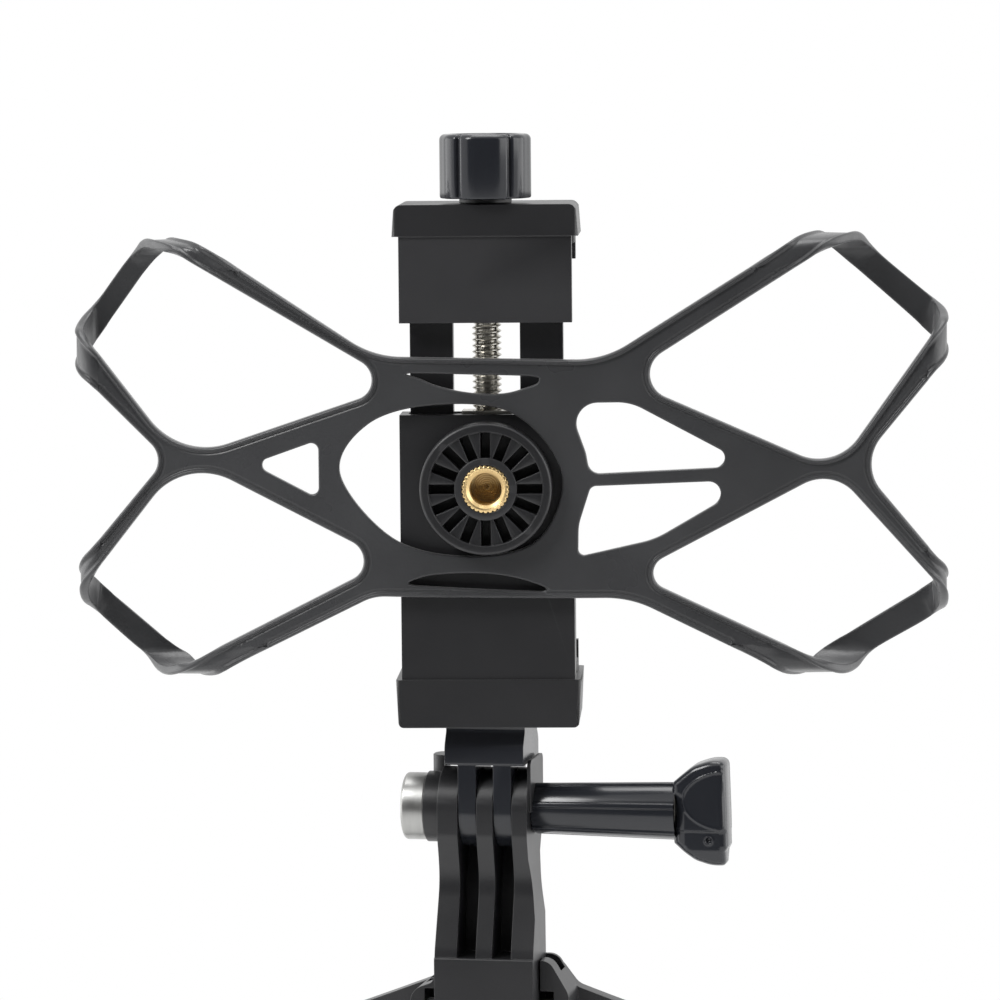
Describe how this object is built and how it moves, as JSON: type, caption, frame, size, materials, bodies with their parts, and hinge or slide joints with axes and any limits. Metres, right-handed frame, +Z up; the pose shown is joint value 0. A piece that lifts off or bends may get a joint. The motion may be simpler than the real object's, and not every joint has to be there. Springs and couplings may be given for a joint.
{
  "type": "helmet phone mount",
  "caption": "Helmet phone mount: curved stick-on base, slide-in hook arm, pronged tilt hinge with thumbscrew, screw-driven phone clamp and a stretch web that hooks the phone's corners.",
  "frame": {"origin": "middle of the adhesive pad's helmet side", "axes": "+X along the clamp to the thumbscrew side, -Y out of the brass accessory thread, +Z up the clamp; the base is turned 9 degrees about +Z, as in the picture"},
  "size_m": [0.1477, 0.0377, 0.1732],
  "materials": {
    "satin_black": "fine satin moulding",
    "gloss_black": "polished moulding",
    "screw_steel": "zinc plated",
    "nut_steel": "satin",
    "brass_insert": "turned",
    "pad_rubber": "soft matt",
    "web_silicone": "matt with fine grain",
    "pad_foam": "closed-cell foam"
  },
  "bodies": {
    "base": {"helmet_base": "satin_black", "adhesive_pad": "pad_foam"},
    "arm": {"hook_arm": "satin_black", "hinge_nut": "nut_steel"},
    "thumbscrew": {"thumbscrew_bolt": "screw_steel", "thumbscrew_grip": "gloss_black"},
    "adapter": {"hinge_adapter": "gloss_black", "tripod_stud": "screw_steel"},
    "clamp": {"clamp_body": "satin_black", "back_cover": "satin_black", "cover_screws": "screw_steel", "lower_jaw_pad": "pad_rubber", "screw_nut": "screw_steel", "accessory_boss": "satin_black", "accessory_insert": "brass_insert", "base_insert": "brass_insert", "silicone_web": "web_silicone"},
    "jaw": {"upper_jaw": "satin_black", "upper_jaw_pad": "pad_rubber"},
    "knob": {"clamp_knob": "gloss_black", "clamp_screw": "screw_steel", "screw_clip": "screw_steel", "knob_washer": "screw_steel"}
  },
  "joints": [
    {"name": "buckle_slide", "type": "slide", "parent": "base", "child": "arm", "axis": [0, 0, 1], "range_m": [0, 0.031]},
    {"name": "hinge_tilt", "type": "hinge", "parent": "arm", "child": "adapter", "pos_m": [-0.00128, -0.0081, 0.0427], "axis": [0.9877, -0.1564, 0], "range_deg": [-30, 90]},
    {"name": "thumbscrew_spin", "type": "hinge", "parent": "arm", "child": "thumbscrew", "pos_m": [-0.00128, -0.0081, 0.0427], "axis": [0.9877, -0.1564, 0], "continuous": true},
    {"name": "clamp_pan", "type": "hinge", "parent": "adapter", "child": "clamp", "pos_m": [-0.00128, -0.0081, 0.0576], "axis": [0, 0, 1], "continuous": true},
    {"name": "jaw_slide", "type": "slide", "parent": "clamp", "child": "jaw", "axis": [0, 0, 1], "range_m": [-0.014, 0.015]},
    {"name": "knob_spin", "type": "hinge", "parent": "jaw", "child": "knob", "pos_m": [-0.00128, -0.0132, 0.1457], "axis": [0, 0, 1], "range_deg": [-5041, 5401]}
  ],
  "couplings": [
    {"joint": "knob_spin", "follows": "jaw_slide", "rad_per_m": 6283.2}
  ]
}
